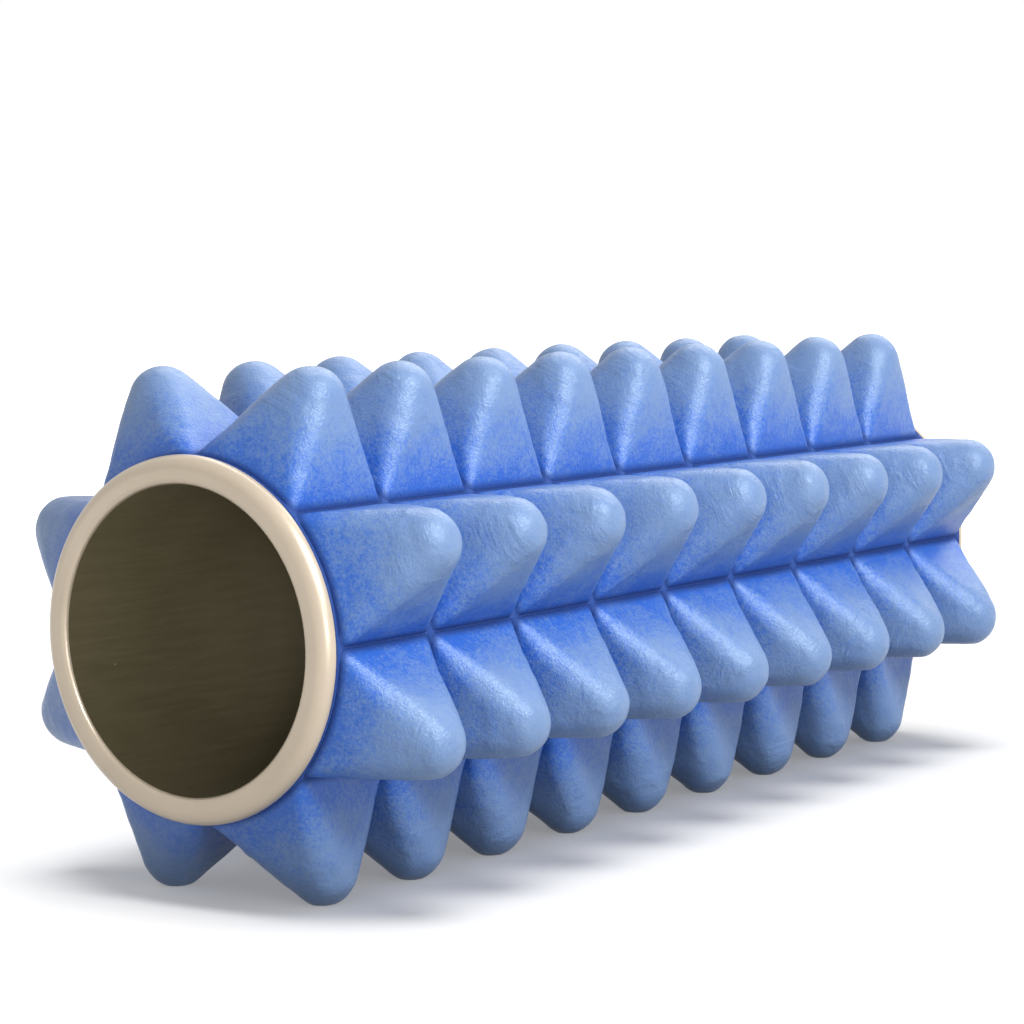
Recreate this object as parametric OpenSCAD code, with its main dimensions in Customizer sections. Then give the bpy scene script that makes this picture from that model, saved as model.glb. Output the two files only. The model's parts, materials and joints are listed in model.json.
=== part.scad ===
// Hollow massage roller: a rigid tube, a sheet of square foam studs glued round
// it, and a trim ring seated on each end of the tube. The roller lies on its two
// lowest rows of studs with its axis along Y.
// Millimetres, +Z up, origin on the surface under the middle of the roller.

/* [Tube] */
// Length of the roller over both trim rings
roller_length = 330; // [260:5:400]
// Diameter of the hollow through the middle
bore_d = 76; // [60:1:92]
// Wall of the tube
tube_wall = 4; // [3:0.1:6]

/* [Trim rings] */
// Thickness of the ring's flange, which shows at the end
flange_thickness = 4; // [3.5:0.1:6]
// Thickness of the ring's lip, which covers the end of the tube
lip_thickness = 1.5; // [1.5:0.1:2.5]
// How far the flange stands proud of the valleys between the studs
flange_lip = 0; // [0:0.1:2]
// Rounding of the flange's outer edge
outer_round = 3; // [1:0.1:3.2]
// Rounding of the flange's inner edge
inner_round = 1.5; // [0.5:0.1:1.5]
// Length of the skirt that fits over the turned-down end of the tube
skirt_length = 10; // [5:0.5:16]
// Wall of the skirt
skirt_wall = 1.5; // [1:0.1:2]
// Clearance between the skirt and the tube
skirt_clearance = 0.1; // [0.05:0.05:0.3]

/* [Glue] */
// Thickness of the glue between the tube and the foam
glue_thickness = 0.3; // [0.1:0.1:0.6]
// Dry strip at each end of the foam, where no glue is spread
glue_margin = 1; // [0.5:0.5:4]

/* [Foam cover] */
// Thickness of the foam sheet in the valleys
sheet_thickness = 2.7; // [2:0.1:5]
// Height of a stud above the valleys
stud_height = 25.2; // [18:0.1:31]
// Radius of a stud's round tip
tip_radius = 8.8; // [6:0.1:9.2]
// Rows of studs round the roller
stud_rows = 8; // [7:1:10]
// Studs in each row
studs_per_row = 9; // [7:1:11]
// Width of the flat valley between two studs
valley_width = 1.5; // [0.8:0.1:2.4]
// Plain border between the last studs and the end of the sheet
end_border = 2; // [1:0.1:6]
// Width of the butt joint where the sheet's two long edges meet
seam_width = 0.2; // [0.1:0.1:0.5]

/* [Hidden] */
$fn = 96;

// Tube, with both ends turned down to take the rings' skirts
bore_r = bore_d / 2;
tube_r = bore_r + tube_wall;
tube_length = roller_length - 2 * lip_thickness;
cover_length = roller_length - 2 * flange_thickness;
turned_r = tube_r - skirt_wall - skirt_clearance;
turned_length = (tube_length - cover_length) / 2 + skirt_length + skirt_clearance;

// Glue, sheet and flange, from the tube outwards
glue_r = tube_r + glue_thickness;
valley_r = glue_r + sheet_thickness;
flange_r = valley_r + flange_lip;

// Where the studs stand, and where the balls of their round tips are centred
stud_pitch = (cover_length - 2 * end_border + valley_width) / studs_per_row;
row_angle = 360 / stud_rows;
tip_centre_r = valley_r + stud_height - tip_radius;
axis_height = tip_centre_r * cos(row_angle / 2) + tip_radius;

// A stud is what three simple shapes have in common: a wedge along the roller, a
// wedge round it, and a cone with a ball on top. The wedges pass tip_gap outside
// the ball and the cone dips cone_dip inside it, so that no two surfaces only
// touch. A stud's root is flat, and lies root_depth under the valleys beside it.
tip_gap = 0.3;
cone_dip = 0.15;
root_depth = 0.4;

// Lean, from the stud's own axis, of a wall that starts beside it at the given
// distance, as far below the ball's centre as drop, and passes a circle of radius r.
function wall_lean(side, drop, r) = atan2(side, drop) - asin(r / norm([side, drop]));

// Foot of the wall that faces along the roller
long_foot = (stud_pitch - valley_width) / 2;
long_lean = wall_lean(long_foot, tip_centre_r - valley_r, tip_radius + tip_gap);

// Foot of the wall that faces round the roller: half a valley from the next row
foot_angle = row_angle / 2 - asin(valley_width / 2 / valley_r);
round_foot = valley_r * sin(foot_angle);
round_foot_r = valley_r * cos(foot_angle);
foot_drop = tip_centre_r - round_foot_r;
root_r = round_foot_r - root_depth;
round_lean = wall_lean(round_foot, foot_drop, tip_radius + tip_gap);

// The cone rounds the stud's four edges, and clears its foot corners by corner_gap.
corner_gap = 0.4;
cone_ball_r = tip_radius - cone_dip;
cone_lean = wall_lean(norm([long_foot, round_foot]) + corner_gap, foot_drop, cone_ball_r);

// Everything is drawn round Z, with the front end at the top, and then laid down.
module lay_down() {
    translate([0, 0, axis_height]) rotate([90, 0, 0]) children();
}

module pipe(outer_r, inner_r, length) {
    difference() {
        cylinder(r = outer_r, h = length, center = true);
        cylinder(r = inner_r, h = length + 2, center = true);
    }
}

module core_tube() {
    color([0.27, 0.25, 0.18]) lay_down() difference() {
        pipe(tube_r, bore_r, tube_length);
        for (side = [-1, 1])
            translate([0, 0, side * tube_length / 2])
                pipe(tube_r + 1, turned_r, 2 * turned_length);
    }
}

// What a rounding of radius r takes off a square corner at the origin, whose
// material lies to its lower left.
module corner_waste(r) {
    difference() {
        translate([-r, -r]) square(2 * r);
        translate([-r, -r]) circle(r);
    }
}

// A ring with its flange's back face at Z = 0 and its skirt below it. The flange
// and the skirt go over the end of the tube, and the lip lies against it.
module trim_ring() {
    seat_r = tube_r - skirt_wall;
    rotate_extrude() difference() {
        union() {
            translate([bore_r, flange_thickness - lip_thickness])
                square([flange_r - bore_r, lip_thickness]);
            translate([seat_r, 0]) square([flange_r - seat_r, flange_thickness]);
            translate([seat_r, -skirt_length]) square([skirt_wall, skirt_length + 1]);
        }
        translate([flange_r, flange_thickness]) corner_waste(outer_round);
        translate([bore_r, flange_thickness]) mirror([1, 0]) corner_waste(inner_round);
    }
}

module end_ring_front() {
    color([0.78, 0.71, 0.63]) lay_down()
        translate([0, 0, cover_length / 2]) trim_ring();
}

module end_ring_rear() {
    color([0.78, 0.71, 0.63]) lay_down()
        mirror([0, 0, 1]) translate([0, 0, cover_length / 2]) trim_ring();
}

module adhesive_film() {
    color([0.93, 0.86, 0.62]) lay_down()
        pipe(glue_r, tube_r, cover_length - 2 * glue_margin);
}

// Wedge that tapers along the roller and points to +X, upright at the foot so
// that the valley beside it stays straight where the sheet falls away
module long_wedge() {
    peak_r = valley_r + long_foot / tan(long_lean);
    rotate([90, 0, 0])
        linear_extrude(height = 2 * valley_r, center = true)
            polygon([[root_r, -long_foot], [valley_r, -long_foot], [peak_r, 0],
                [valley_r, long_foot], [root_r, long_foot]]);
}

// Wedge that tapers round the roller and points to +X
module round_wedge() {
    root = round_foot + root_depth * tan(round_lean);
    peak_r = root_r + root / tan(round_lean);
    linear_extrude(height = 2 * stud_pitch, center = true)
        polygon([[root_r, -root], [peak_r, 0], [root_r, root]]);
}

// Cone with a ball on top, both centred on the stud's axis, which points to +X
module cone_and_ball() {
    reach = foot_drop + 2 * root_depth;
    rise = tip_radius * sin(cone_lean);
    side = cone_ball_r / cos(cone_lean);
    translate([tip_centre_r, 0, 0]) rotate([0, 90, 0]) {
        sphere(r = tip_radius);
        translate([0, 0, -reach])
            cylinder(r1 = side + reach * tan(cone_lean), r2 = side - rise * tan(cone_lean),
                h = reach + rise);
    }
}

module stud() {
    intersection() {
        long_wedge();
        round_wedge();
        cone_and_ball();
    }
}

module foam_cover() {
    color([0.33, 0.5, 0.82]) lay_down() difference() {
        union() {
            cylinder(r = valley_r, h = cover_length, center = true);
            for (row = [1 : stud_rows], place = [1 : studs_per_row])
                rotate(row_angle * (row - 0.5) - 90)
                    translate([0, 0, stud_pitch * (place - (studs_per_row + 1) / 2)]) stud();
        }
        cylinder(r = glue_r, h = cover_length + 2, center = true);
        rotate(-90 - row_angle) translate([valley_r, 0, 0])
            cube([4 * sheet_thickness, seam_width, cover_length + 2], center = true);
    }
}

core_tube();
end_ring_front();
end_ring_rear();
adhesive_film();
foam_cover();
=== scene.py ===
"""Hollow massage roller with a studded foam cover, lying on two rows of studs."""
import json
import math

import bmesh
import bpy
import numpy as np
from mathutils import Matrix, Vector, noise as lattice


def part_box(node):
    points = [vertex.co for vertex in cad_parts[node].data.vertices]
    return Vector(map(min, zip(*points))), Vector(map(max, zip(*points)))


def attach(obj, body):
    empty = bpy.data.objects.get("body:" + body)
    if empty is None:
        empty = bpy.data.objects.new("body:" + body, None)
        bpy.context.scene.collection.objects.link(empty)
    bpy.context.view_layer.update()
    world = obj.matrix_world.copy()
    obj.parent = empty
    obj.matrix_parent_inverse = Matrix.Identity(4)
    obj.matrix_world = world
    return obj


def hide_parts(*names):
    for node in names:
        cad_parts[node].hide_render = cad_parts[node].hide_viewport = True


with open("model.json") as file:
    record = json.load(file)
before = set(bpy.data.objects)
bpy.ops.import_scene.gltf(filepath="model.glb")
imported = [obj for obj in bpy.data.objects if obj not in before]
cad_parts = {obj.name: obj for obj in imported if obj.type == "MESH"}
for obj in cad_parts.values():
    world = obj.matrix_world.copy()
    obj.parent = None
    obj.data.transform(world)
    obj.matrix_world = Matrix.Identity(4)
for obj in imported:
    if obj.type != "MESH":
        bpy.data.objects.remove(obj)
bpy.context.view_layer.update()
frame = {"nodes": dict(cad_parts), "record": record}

MM = 0.001

# ---------------------------------------------------------------- sizes, in millimetres
# Read from the frame
bore_mount = next(m for m in frame["record"]["mounts"] if m["name"] == "bore")
BORE_R = bore_mount["dims"]["r_mm"]
AXIS_Z = bore_mount["pos_m"][2] / MM
COVER_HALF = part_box("foam_cover")[1].y / MM
TUBE_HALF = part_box("core_tube")[1].y / MM
TUBE_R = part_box("core_tube")[1].x / MM
GLUE_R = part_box("adhesive_film")[1].x / MM
FLANGE_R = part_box("end_ring_front")[1].x / MM
FLANGE_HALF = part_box("end_ring_rear")[1].y / MM
VALLEY_R = FLANGE_R

# The pattern of studs: rows round the roller, with studs along each
ROWS = 8
STUDS = 9
ROW_ANGLE = 2 * math.pi / ROWS
VALLEY_WIDTH = 1.5
BORDER = 2.0
SEAM_ROW = ROWS - 2
SEAM_WIDTH = 0.2
PITCH = (2 * (COVER_HALF - BORDER) + VALLEY_WIDTH) / STUDS

# One stud: a ball tip, plane walls, and side edges that are sharper at the foot
TIP_R = 8.8
TIP_CENTRE_R = (AXIS_Z - TIP_R) / math.cos(ROW_ANGLE / 2)
STUD_HEIGHT = TIP_CENTRE_R + TIP_R - VALLEY_R
EDGE_R = 4.5
EDGE_AT_FOOT = 0.3
EDGE_GROWTH = 9.0
CONE_INSET = 0.2
CAP_BLEND = 1.0

# The sheet between the studs, and the skin
CREASE_DEPTH = 1.4
CREASE_WIDTH = 0.6
BEAD_RISE = 1.0
BEAD_CROWN = 0.4
BEAD_CROWN_WIDTH = 0.7
END_ROUND = 1.0
LUMPS = ((0.30, 13.0), (0.13, 5.0), (0.05, 2.2))
SKIN_INSET = 0.1
SKIN_FADE = 3.0
PRESSED_FLAT = 0.5
PRESSED_BELOW = 3.0

# The rings and the tube's turned ends
SKIRT_LENGTH = 10.0
SKIRT_WALL = 1.5
SKIRT_CLEARANCE = 0.1
FLANGE_ROUND = 3.6
BORE_ROUND = 1.4
BACK_ROUND = 0.4


# ---------------------------------------------------------------- small helpers
def link(obj):
    bpy.context.scene.collection.objects.link(obj)
    return obj


def object_from(bm, name, material):
    mesh = bpy.data.meshes.new(name)
    bm.to_mesh(mesh)
    bm.free()
    mesh.materials.append(material)
    return link(bpy.data.objects.new(name, mesh))


def smooth(obj, sharp_angle):
    obj.data.shade_smooth()
    obj.data.set_sharp_from_angle(angle=math.radians(sharp_angle))
    return obj


def node(tree, kind, settings=None, **inputs):
    """Adds a shader node. A socket given as an input is linked, anything else is set.
    An input is given by its name, or as i0, i1 and so on by its place in the list."""
    new = tree.nodes.new(kind)
    for name, value in (settings or {}).items():
        setattr(new, name, value)
    for name, value in inputs.items():
        by_place = name[0] == "i" and name[1:].isdigit()
        socket = new.inputs[int(name[1:])] if by_place else new.inputs[name]
        if isinstance(value, bpy.types.NodeSocket):
            tree.links.new(value, socket)
        else:
            socket.default_value = value
    return new


def maths(tree, operation, a, b):
    return node(tree, "ShaderNodeMath", {"operation": operation}, i0=a, i1=b).outputs[0]


def blend(tree, factor, low, high):
    """Colour low where the factor is 0, and colour high where it is 1."""
    settings = {"data_type": "RGBA"}
    return node(tree, "ShaderNodeMix", settings, Factor=factor, i6=low, i7=high).outputs[2]


def ramp(tree, factor, stops):
    """Colour ramp through (position, colour) stops."""
    new = node(tree, "ShaderNodeValToRGB", None, Fac=factor)
    elements = new.color_ramp.elements
    while len(elements) < len(stops):
        elements.new(0.5)
    for element, (position, colour) in zip(elements, stops):
        element.position = position
        element.color = (*colour, 1.0)
    return new.outputs["Color"]


def noise(tree, vector, size, detail=3.0, roughness=0.5, distortion=0.0):
    """Noise whose blotches are about size metres across."""
    return node(tree, "ShaderNodeTexNoise", None, Vector=vector, Scale=1.0 / size, Detail=detail,
                Roughness=roughness, Distortion=distortion).outputs["Fac"]


def spread(tree, value, low, high, to_low, to_high):
    """Smooth step from to_low, where the value is low, to to_high."""
    new = node(tree, "ShaderNodeMapRange", {"interpolation_type": "SMOOTHSTEP"}, Value=value)
    for name, number in zip(("From Min", "From Max", "To Min", "To Max"), (low, high, to_low, to_high)):
        new.inputs[name].default_value = number
    return new.outputs["Result"]


def blank_material(name):
    """A material, its tree and shader, and the place of each point from the roller's axis."""
    material = bpy.data.materials.new(name)
    material.use_nodes = True
    tree = material.node_tree
    shader = tree.nodes["Principled BSDF"]
    place = node(tree, "ShaderNodeTexCoord").outputs["Object"]
    down = (0, 0, -AXIS_Z * MM)
    centred = node(tree, "ShaderNodeMapping", None, Vector=place, Location=down).outputs[0]
    return material, tree, shader, centred


def add_bump(tree, shader, height, strength, distance):
    bump = node(tree, "ShaderNodeBump", None, Strength=strength, Distance=distance, Height=height)
    tree.links.new(bump.outputs[0], shader.inputs["Normal"])


def axis_distance(tree, centred):
    """Distance from the roller's axis, in metres."""
    multiply = {"operation": "MULTIPLY"}
    across = node(tree, "ShaderNodeVectorMath", multiply, i0=centred, i1=(1, 0, 1)).outputs[0]
    return node(tree, "ShaderNodeVectorMath", {"operation": "LENGTH"}, i0=across).outputs["Value"]


# ---------------------------------------------------------------- materials
def foam_material():
    """Blue moulded foam with a grained skin and random mottle, with painted shade that makes it deep
    blue low down and in the creases, and painted light that makes it milky at the tips.
    """
    material, tree, shader, place = blank_material("blue_foam")
    distance = axis_distance(tree, place)
    above_valley = maths(tree, "SUBTRACT", distance, VALLEY_R * MM)
    height = maths(tree, "DIVIDE", above_valley, STUD_HEIGHT * MM)

    cloud = spread(tree, noise(tree, place, 0.012, 4.0, 0.65), 0.32, 0.68, -0.13, 0.13)
    speckle = spread(tree, noise(tree, place, 0.0012, 3.0, 0.75), 0.32, 0.68, -0.17, 0.17)
    level = maths(tree, "ADD", maths(tree, "ADD", height, cloud), speckle)
    grain = noise(tree, place, 0.0007, 2.0, 0.7)
    level = maths(tree, "ADD", level, spread(tree, grain, 0.3, 0.7, -0.12, 0.12))
    # Painted shade and painted light: by height above the valley the colour runs from a dark deep blue
    # low down to a pale milky blue at the tips. The cloud, speckle and grain added to the height are
    # the foam's own random mottle.
    colour = ramp(tree, level, [(0.0, (0.020, 0.100, 0.440)), (0.22, (0.062, 0.146, 0.430)),
                                (0.55, (0.112, 0.198, 0.410)), (1.0, (0.143, 0.226, 0.400))])
    # Painted shade: the creases along the studs' feet are blended to a dark navy. The same crease mask
    # also makes the skin duller there.
    out_of_crease = spread(tree, distance, (VALLEY_R - 0.7) * MM, (VALLEY_R + 1.6) * MM, 0.0, 1.0)
    colour = blend(tree, out_of_crease, (0.0, 0.022, 0.150, 1), colour)
    tree.links.new(colour, shader.inputs["Base Color"])

    # Satin skin, duller in the creases, with highlights that lean to the foam's own blue
    satin = spread(tree, grain, 0.3, 0.7, 0.33, 0.47)
    dull = spread(tree, out_of_crease, 0.0, 1.0, 0.35, 0.0)
    tree.links.new(maths(tree, "ADD", satin, dull), shader.inputs["Roughness"])
    shader.inputs["Specular IOR Level"].default_value = 0.6
    shader.inputs["Specular Tint"].default_value = (0.72, 0.86, 1.0, 1)

    # Fine wrinkles that run level round a stud, in patches on its upper half
    fold_width = 0.0013
    fold_length = 0.008
    axes = node(tree, "ShaderNodeSeparateXYZ", None, Vector=place)
    round_roller = maths(tree, "ADD", axes.outputs["X"], axes.outputs["Z"])
    level_lines = node(tree, "ShaderNodeCombineXYZ", None,
                       X=maths(tree, "MULTIPLY", distance, 1 / fold_width),
                       Y=maths(tree, "MULTIPLY", round_roller, 1 / fold_length),
                       Z=maths(tree, "MULTIPLY", axes.outputs["Y"], 1 / fold_length)).outputs[0]
    folds = noise(tree, level_lines, 1.0, 2.0, 0.5, 0.6)
    patch = spread(tree, noise(tree, place, 0.009, 2.0), 0.45, 0.62, 0.0, 1.0)
    near_tip = spread(tree, height, 0.35, 0.7, 0.1, 1.0)
    wrinkle = maths(tree, "MULTIPLY", maths(tree, "MULTIPLY", folds, patch), near_tip)
    surface = maths(tree, "ADD", maths(tree, "MULTIPLY", grain, 0.55), wrinkle)
    add_bump(tree, shader, surface, 0.8, 0.0004)
    return material


def ring_material():
    """Champagne plastic with a satin gloss."""
    material, tree, shader, place = blank_material("champagne_satin")
    cloud = noise(tree, place, 0.02, 3.0)
    colour = ramp(tree, cloud, [(0.3, (0.495, 0.412, 0.312)), (0.7, (0.540, 0.452, 0.348))])
    tree.links.new(colour, shader.inputs["Base Color"])
    grain = noise(tree, place, 0.0006, 2.0)
    tree.links.new(spread(tree, grain, 0.3, 0.7, 0.29, 0.38), shader.inputs["Roughness"])
    shader.inputs["Metallic"].default_value = 0.35
    shader.inputs["Coat Weight"].default_value = 0.15
    shader.inputs["Coat Roughness"].default_value = 0.2
    add_bump(tree, shader, grain, 0.15, 0.00005)
    return material


def tube_material():
    """Dark olive plastic with faint lengthwise draw marks and a few light scratches."""
    material, tree, shader, place = blank_material("olive_tube")
    stretched = node(tree, "ShaderNodeMapping", None, Vector=place, Scale=(1, 0.06, 1)).outputs[0]
    marks = noise(tree, stretched, 0.0012, 3.0, 0.6)
    cloud = noise(tree, place, 0.03, 3.0)
    level = maths(tree, "MULTIPLY", maths(tree, "ADD", marks, cloud), 0.5)
    colour = ramp(tree, level, [(0.35, (0.092, 0.077, 0.042)), (0.65, (0.112, 0.095, 0.052))])
    slanted = node(tree, "ShaderNodeMapping", None, Vector=place, Rotation=(0.3, 0.5, 0.9),
                   Scale=(0.05, 1, 1)).outputs[0]
    scratch = spread(tree, noise(tree, slanted, 0.0016, 0.0), 0.87, 0.93, 0.0, 0.5)
    colour = blend(tree, scratch, colour, (0.28, 0.25, 0.19, 1))
    tree.links.new(colour, shader.inputs["Base Color"])
    tree.links.new(spread(tree, marks, 0.3, 0.7, 0.36, 0.5), shader.inputs["Roughness"])
    add_bump(tree, shader, marks, 0.2, 0.00006)
    return material


def glue_material():
    """Dried amber glue, hidden between the tube and the foam."""
    material, tree, shader, place = blank_material("dried_glue")
    shader.inputs["Roughness"].default_value = 0.4
    streak = noise(tree, place, 0.006, 3.0, 0.6)
    colour = ramp(tree, streak, [(0.3, (0.70, 0.55, 0.28)), (0.7, (0.86, 0.74, 0.44))])
    tree.links.new(colour, shader.inputs["Base Color"])
    return material


# ---------------------------------------------------------------- foam cover
def wall_lean(side, drop, r):
    """Lean from the stud's axis of a wall that starts at side, drop below the ball's
    centre, and touches a ball of radius r."""
    return math.atan2(side, drop) - math.asin(r / math.hypot(side, drop))


LONG_FOOT = (PITCH - VALLEY_WIDTH) / 2
LONG_LEAN = wall_lean(LONG_FOOT, TIP_CENTRE_R - VALLEY_R, TIP_R)
FOOT_ANGLE = ROW_ANGLE / 2 - math.asin(VALLEY_WIDTH / 2 / VALLEY_R)
ROUND_FOOT = VALLEY_R * math.sin(FOOT_ANGLE)
ROUND_FOOT_R = VALLEY_R * math.cos(FOOT_ANGLE)
ROUND_LEAN = wall_lean(ROUND_FOOT, TIP_CENTRE_R - ROUND_FOOT_R, TIP_R)
CORNER_FOOT = math.hypot(LONG_FOOT, ROUND_FOOT) - CONE_INSET
CONE_LEAN = wall_lean(CORNER_FOOT, TIP_CENTRE_R - ROUND_FOOT_R, TIP_R)


def smooth_step(share):
    """0 up to a share of 0, 1 from a share of 1, and a smooth rise between."""
    share = np.clip(share, 0, 1)
    return share * share * (3 - 2 * share)


def round_max(a, b, r):
    """Intersection of two distance fields with a rounding of radius r between them."""
    return np.minimum(-r, np.maximum(a, b)) + np.hypot(np.maximum(a + r, 0), np.maximum(b + r, 0))


def stud_distance(radius, angle, along):
    """Signed distance from a stud's surface, at a distance from the roller's axis, an
    angle from the stud's axis and a length along the roller from it."""
    side = radius * np.sin(angle)
    out = radius * np.cos(angle)
    long_wall = np.abs(along) - LONG_FOOT + (radius - VALLEY_R) * math.tan(LONG_LEAN)
    round_wall = np.abs(side) - ROUND_FOOT + (out - ROUND_FOOT_R) * math.tan(ROUND_LEAN)
    edge_share = np.clip(EDGE_AT_FOOT + (radius - VALLEY_R) / EDGE_GROWTH, EDGE_AT_FOOT, 1.0)
    walls = round_max(long_wall * math.cos(LONG_LEAN), round_wall * math.cos(ROUND_LEAN),
                      EDGE_R * edge_share)
    spread_out = np.hypot(side, along)
    above = out - TIP_CENTRE_R
    ball = np.hypot(spread_out, above) - TIP_R
    cone = spread_out * math.cos(CONE_LEAN) + above * math.sin(CONE_LEAN) - TIP_R
    cap = np.where(above > spread_out * math.tan(CONE_LEAN), ball, cone)
    return round_max(walls, cap, CAP_BLEND)


def stud_radius(angle, along):
    """Where the ray at this angle and length meets the stud's surface, by bisection."""
    low = np.full(angle.shape, VALLEY_R - 5.0)
    high = np.full(angle.shape, VALLEY_R + STUD_HEIGHT + 1.0)
    for _ in range(30):
        middle = (low + high) / 2
        inside = stud_distance(middle, angle, along) < 0
        low = np.where(inside, middle, low)
        high = np.where(inside, high, middle)
    return (low + high) / 2


def web_radius(angle, along):
    """The sheet between the studs: a low bead with a crease along each stud's foot."""
    beside = stud_distance(np.full(angle.shape, VALLEY_R), angle, along)
    bead = BEAD_RISE * smooth_step(beside / CREASE_WIDTH)
    crown = BEAD_CROWN * smooth_step((beside - CREASE_WIDTH) / BEAD_CROWN_WIDTH)
    return VALLEY_R - CREASE_DEPTH + bead + crown


def lumps(points, size):
    """Smooth noise from -1 to 1 at the points, with lumps about size across."""
    values = [lattice.noise(Vector(point)) for point in points.reshape(-1, 3) / size]
    return np.array(values).reshape(points.shape[:-1])


def outward(points):
    """Unit normals of a grid of points on the top of a row."""
    normal = np.cross(np.gradient(points, axis=1), np.gradient(points, axis=0))
    return normal / np.linalg.norm(normal, axis=-1, keepdims=True)


# Cells across a stud each way, and across the underside of a row
CELLS = 92
UNDERSIDE = 8
# Share of the cells from a stud's middle outwards, and how far out they reach:
# the tip, the foot, and the middle of the valley or the end of the cover
TIP_REACH = 7.2
TIP_ANGLE = math.radians(6.0)
FOOT_REACH = LONG_FOOT - 0.05
END_BORDER = COVER_HALF - PITCH * (STUDS - 1) / 2
LONG_SHARES = (0.0, 0.22, 0.93, 1.0)
LONG_REACH = (0.0, TIP_REACH, FOOT_REACH, PITCH / 2)
END_SHARES = (0.0, 0.22, 0.82, 0.92, 1.0)
END_REACH = (0.0, TIP_REACH, FOOT_REACH, LONG_FOOT + 1.4, END_BORDER)
ROUND_SHARES = (0.0, 0.22, 0.93, 1.0)
ROUND_REACH = (0.0, TIP_ANGLE, FOOT_ANGLE - 0.002, ROW_ANGLE / 2)


def row_lengths():
    """Places along the roller, from the nearest stud's middle and from the roller's."""
    column = np.arange(STUDS * CELLS + 1)
    stud = np.minimum(column // CELLS, STUDS - 1)
    share = (column - stud * CELLS) / CELLS * 2 - 1
    at_end = ((stud == 0) & (share < 0)) | ((stud == STUDS - 1) & (share > 0))
    inner = np.interp(np.abs(share), LONG_SHARES, LONG_REACH)
    outer = np.interp(np.abs(share), END_SHARES, END_REACH)
    along = np.sign(share) * np.where(at_end, outer, inner)
    return along, along + (stud - (STUDS - 1) / 2) * PITCH


def row_angles(row):
    """Angles from the row's middle, which stop half the seam short of a butt joint."""
    share = np.arange(CELLS + 1) / CELLS * 2 - 1
    angle = np.sign(share) * np.interp(np.abs(share), ROUND_SHARES, ROUND_REACH)
    gap = SEAM_WIDTH / 2 / VALLEY_R
    if row == SEAM_ROW:
        angle[-1] -= gap
    if row == SEAM_ROW + 1:
        angle[0] += gap
    return angle


def on_roller(radius, turn, length):
    return np.stack([radius * np.cos(turn), length, radius * np.sin(turn) + AXIS_Z], axis=-1)


def row_top(row):
    """Points over the top of a row, in a grid of places along it by angles round it,
    with the angle and the length of each."""
    along, length = row_lengths()
    angle = row_angles(row)
    turn = -math.pi / 2 + (row + 0.5) * ROW_ANGLE + angle
    along, angle = np.meshgrid(along, angle, indexing="ij")
    length, turn = np.meshgrid(length, turn, indexing="ij")
    radius = np.maximum(stud_radius(angle, along), web_radius(angle, along))
    past = np.clip(np.abs(length) - COVER_HALF + END_ROUND, 0, END_ROUND)
    radius -= END_ROUND - np.sqrt(END_ROUND ** 2 - past ** 2)

    # Uneven skin, which fades out at the valleys so that the rows still meet
    points = on_roller(radius, turn, length)
    fade = np.clip((radius - VALLEY_R) / SKIN_FADE, 0, 1)
    uneven = sum(height * lumps(points, size) for height, size in LUMPS)
    points += outward(points) * (fade * (uneven - SKIN_INSET))[..., None]

    # The lowest tips are pressed flat where the roller lies on them
    low = points[..., 2]
    pressed = np.maximum(low - PRESSED_FLAT * (1 - low / PRESSED_BELOW), 0.0)
    points[..., 2] = np.where(low < PRESSED_BELOW, pressed, low)
    return points, turn, length


def foam_row(row, material):
    """One row of studs with the sheet under it, from valley to valley."""
    columns = STUDS * CELLS
    belts = CELLS + UNDERSIDE + 2
    top, turn, length = row_top(row)
    back = np.linspace(turn[0, -1], turn[0, 0], UNDERSIDE + 1)
    under_turn, under_length = np.meshgrid(back, length[:, 0])
    under = on_roller(np.full(under_turn.shape, GLUE_R), under_turn, under_length)
    section = np.concatenate([top, under, top[:, :1]], axis=1) * MM

    bm = bmesh.new()
    bmesh.ops.create_grid(bm, x_segments=columns, y_segments=belts, size=1.0)
    for vert in bm.verts:
        column = round((vert.co.x + 1) / 2 * columns)
        belt = round((vert.co.y + 1) / 2 * belts)
        vert.co = section[column, belt]
    bmesh.ops.remove_doubles(bm, verts=bm.verts[:], dist=0.001 * MM)
    bmesh.ops.holes_fill(bm, edges=[e for e in bm.edges if e.is_boundary], sides=0)
    bmesh.ops.recalc_face_normals(bm, faces=bm.faces[:])
    piece = smooth(object_from(bm, f"foam_row_{row + 1}", material), 55)
    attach(piece, "root")
    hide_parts("foam_cover")


# ---------------------------------------------------------------- tube and rings
def lathe(name, outline, material, bevels, steps=192):
    """Turns an outline of (radius, length) points right round the roller's axis, and
    rounds the edges at some of its points: (point, radius, segments) each."""
    bm = bmesh.new()
    ring = [bm.verts.new((r * MM, y * MM, 0)) for r, y in outline]
    edges = [bm.edges.new((ring[i], ring[(i + 1) % len(ring)])) for i in range(len(ring))]
    bmesh.ops.spin(bm, geom=ring + edges, cent=(0, 0, 0), axis=(0, 1, 0), angle=2 * math.pi,
                   steps=steps, use_merge=True, use_duplicate=False)
    bmesh.ops.remove_doubles(bm, verts=bm.verts[:], dist=0.0001 * MM)
    near = 0.01 * MM
    for (r, y), size, segments in bevels:
        at = [e for e in bm.edges if all(abs(math.hypot(v.co.x, v.co.z) - r * MM) < near
                                         and abs(v.co.y - y * MM) < near for v in e.verts)]
        bmesh.ops.bevel(bm, geom=at, offset=size * MM, offset_type="OFFSET", segments=segments,
                        profile=0.5, affect="EDGES", material=-1)
    bmesh.ops.translate(bm, vec=(0, 0, AXIS_Z * MM), verts=bm.verts[:])
    bmesh.ops.recalc_face_normals(bm, faces=bm.faces[:])
    piece = smooth(object_from(bm, name, material), 35)
    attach(piece, "root")
    return piece


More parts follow.
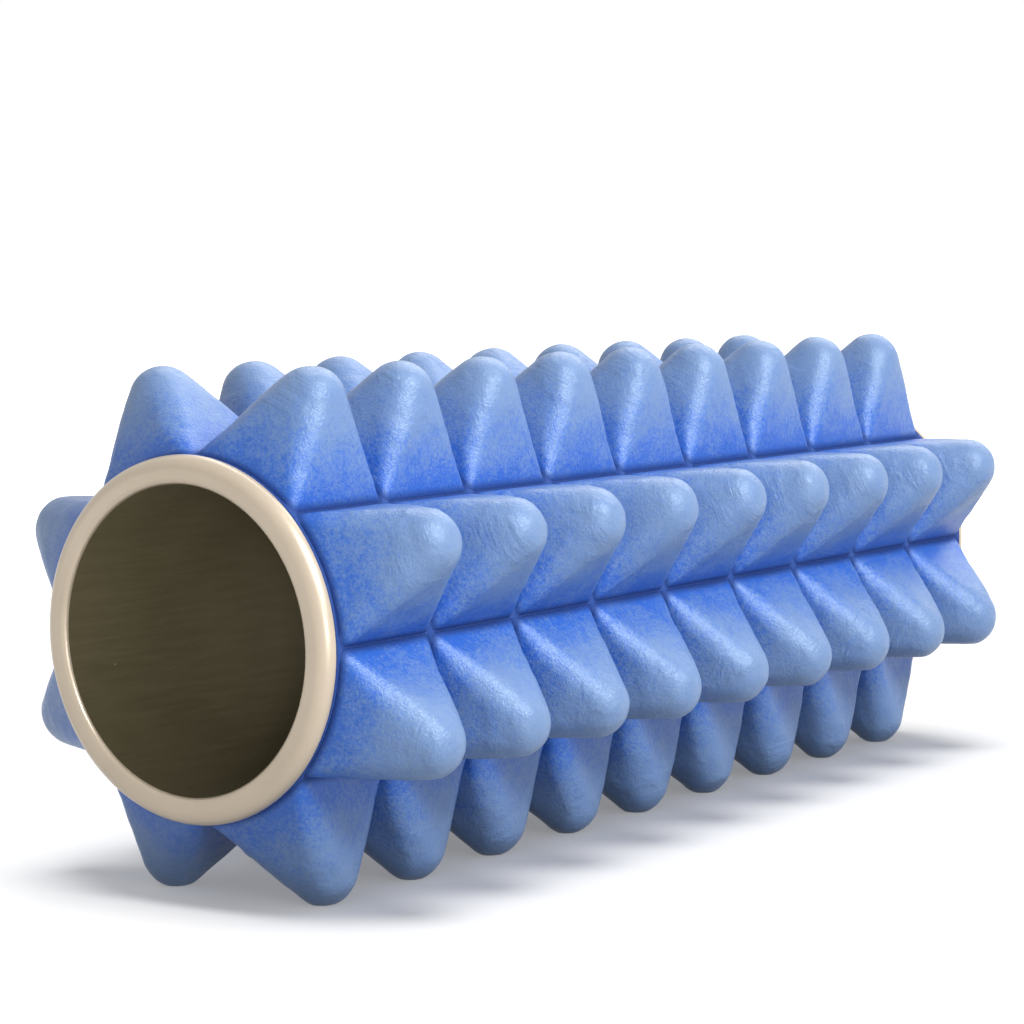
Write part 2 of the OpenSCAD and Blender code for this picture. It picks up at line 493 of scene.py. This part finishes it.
def trim_ring(name, cad_node, end, material):
    """A ring whose lip covers the end of the tube, with a skirt over the tube's turned end."""
    back = COVER_HALF * end
    seat = TUBE_HALF * end
    front = FLANGE_HALF * end
    skirt_end = (COVER_HALF - SKIRT_LENGTH) * end
    seat_r = TUBE_R - SKIRT_WALL
    outline = [(BORE_R, seat), (BORE_R, front), (FLANGE_R, front), (FLANGE_R, back),
               (TUBE_R, back), (TUBE_R, skirt_end), (seat_r, skirt_end), (seat_r, seat)]
    bevels = [((FLANGE_R, front), FLANGE_ROUND, 16), ((BORE_R, front), BORE_ROUND, 8),
              ((FLANGE_R, back), BACK_ROUND, 4)]
    piece = lathe(name, outline, material, bevels)
    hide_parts(cad_node)


def tube(material):
    """The tube, with both ends turned down for the rings' skirts."""
    turned_r = TUBE_R - SKIRT_WALL - SKIRT_CLEARANCE
    turned = COVER_HALF - SKIRT_LENGTH - SKIRT_CLEARANCE
    outline = [(BORE_R, -TUBE_HALF), (turned_r, -TUBE_HALF), (turned_r, -turned), (TUBE_R, -turned),
               (TUBE_R, turned), (turned_r, turned), (turned_r, TUBE_HALF), (BORE_R, TUBE_HALF)]
    piece = lathe("tube", outline, material, [])
    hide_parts("core_tube")
    return piece


foam = foam_material()
champagne = ring_material()
for row in range(ROWS):
    foam_row(row, foam)
trim_ring("ring_front", "end_ring_front", -1, champagne)
trim_ring("ring_rear", "end_ring_rear", 1, champagne)
tube_piece = tube(tube_material())
glue = glue_material()
for material_slot in frame["nodes"]["adhesive_film"].material_slots:
    material_slot.material = glue


# ---------------------------------------------------------------- camera
CAMERA_PLACE = (0.46957, -0.69123, 0.15032)
CAMERA_TURN = 35.19
CAMERA_PITCH = -4.5
CAMERA_ROLL = -1.22


def camera():
    data = bpy.data.cameras.new("camera")
    data.sensor_width = 36.0
    data.lens = 103.15
    data.clip_start = 0.05
    data.clip_end = 50.0
    eye = link(bpy.data.objects.new("camera", data))
    turn = Matrix.Rotation(math.radians(CAMERA_TURN), 4, "Z")
    pitch = Matrix.Rotation(math.radians(90 + CAMERA_PITCH), 4, "X")
    roll = Matrix.Rotation(math.radians(CAMERA_ROLL), 4, "Z")
    eye.matrix_world = Matrix.Translation(CAMERA_PLACE) @ turn @ pitch @ roll
    bpy.context.scene.camera = eye


# ---------------------------------------------------------------- studio
def towards_roller(lamp, azimuth, elevation, distance):
    """Puts a lamp at an azimuth from the front end, turned towards the roller."""
    a = math.radians(azimuth)
    e = math.radians(elevation)
    away = Vector((math.sin(a) * math.cos(e), -math.cos(a) * math.cos(e), math.sin(e)))
    lamp.location = Vector((0, 0, AXIS_Z * MM)) + away * distance
    lamp.rotation_euler = away.to_track_quat("Z", "Y").to_euler()


def softbox(name, azimuth, elevation, distance, size, power):
    """A square area lamp."""
    data = bpy.data.lights.new(name, "AREA")
    data.shape = "SQUARE"
    data.size = size
    data.energy = power
    lamp = link(bpy.data.objects.new(name, data))
    towards_roller(lamp, azimuth, elevation, distance)
    return lamp


def shade(lamp, pieces, only=False):
    """Keeps a lamp's light off these pieces, or with only, off everything else."""
    listed = bpy.data.collections.new(f"{lamp.name}_receivers")
    lamp.light_linking.receiver_collection = listed
    for piece in pieces:
        listed.objects.link(piece)
    for entry in listed.collection_objects:
        entry.light_linking.link_state = "INCLUDE" if only else "EXCLUDE"


def overhead(name, azimuth, elevation, spread_angle, power):
    """A broad sun lamp, for soft shadows."""
    data = bpy.data.lights.new(name, "SUN")
    data.angle = math.radians(spread_angle)
    data.energy = power
    lamp = link(bpy.data.objects.new(name, data))
    towards_roller(lamp, azimuth, elevation, distance=2.0)
    return lamp


def seen_directly(tree):
    """1 for a ray from the camera, a reflection or through glass, and 0 for other light."""
    path = node(tree, "ShaderNodeLightPath")
    seen = maths(tree, "MAXIMUM", path.outputs["Is Camera Ray"], path.outputs["Is Glossy Ray"])
    return maths(tree, "MAXIMUM", seen, path.outputs["Is Transmission Ray"])


def white_world():
    """White to the camera and in reflections, and a dimmer light on everything else."""
    world = bpy.data.worlds.new("studio")
    bpy.context.scene.world = world
    world.use_nodes = True
    tree = world.node_tree
    strength = spread(tree, seen_directly(tree), 0.0, 1.0, 0.39, 1.0)
    background = tree.nodes["Background"]
    background.inputs["Color"].default_value = (1.0, 1.0, 1.0, 1)
    tree.links.new(strength, background.inputs["Strength"])


FLOOR_HALF = 40.0


def glowing(tree, surface, strength):
    """A surface shader with some light of its own added."""
    glow = node(tree, "ShaderNodeEmission", None, Strength=strength)
    return node(tree, "ShaderNodeAddShader", None, i0=surface, i1=glow.outputs[0]).outputs[0]


def white_floor():
    """A floor that fades into the white world away from the roller. What it shows and
    reflects is one shader, and the light it throws back on the roller another."""
    bm = bmesh.new()
    bmesh.ops.create_grid(bm, x_segments=1, y_segments=1, size=FLOOR_HALF)
    material = bpy.data.materials.new("white_floor")
    material.use_nodes = True
    tree = material.node_tree
    shader = tree.nodes["Principled BSDF"]
    shader.inputs["Base Color"].default_value = (0.72, 0.72, 0.72, 1)
    shader.inputs["Roughness"].default_value = 1.0
    shader.inputs["Specular IOR Level"].default_value = 0.0
    place = node(tree, "ShaderNodeTexCoord").outputs["Object"]
    reach = node(tree, "ShaderNodeVectorMath", {"operation": "LENGTH"}, i0=place).outputs["Value"]
    shown = glowing(tree, shader.outputs[0], spread(tree, reach, 0.2, 1.1, 0.23, 0.7))
    plain = node(tree, "ShaderNodeBsdfDiffuse", None, Color=(0.45, 0.45, 0.45, 1))
    bounce = glowing(tree, plain.outputs[0], spread(tree, reach, 0.1, 0.35, 0.0, 0.35))
    pick = node(tree, "ShaderNodeMixShader", None, Fac=seen_directly(tree), i1=bounce, i2=shown)
    tree.links.new(pick.outputs[0], tree.nodes["Material Output"].inputs["Surface"])
    floor = object_from(bm, "floor", material)
    return floor


def studio():
    white_world()
    floor = white_floor()
    back_light = overhead("back_light", azimuth=-168, elevation=48, spread_angle=50, power=1.5)
    floor_light = overhead("floor_light", azimuth=75, elevation=85, spread_angle=32, power=2.7)
    key = softbox("key", azimuth=77, elevation=38, distance=1.3, size=0.5, power=19.0)
    front = softbox("front", azimuth=68, elevation=2, distance=1.6, size=0.5, power=7.0)
    inside = softbox("inside", azimuth=33, elevation=3, distance=1.4, size=0.3, power=14.0)
    shade(back_light, [floor])
    shade(floor_light, [floor], only=True)
    shade(key, [floor, tube_piece])
    shade(front, [tube_piece])
    shade(inside, [tube_piece], only=True)


camera()
studio()
bpy.context.scene.view_settings.view_transform = "Standard"
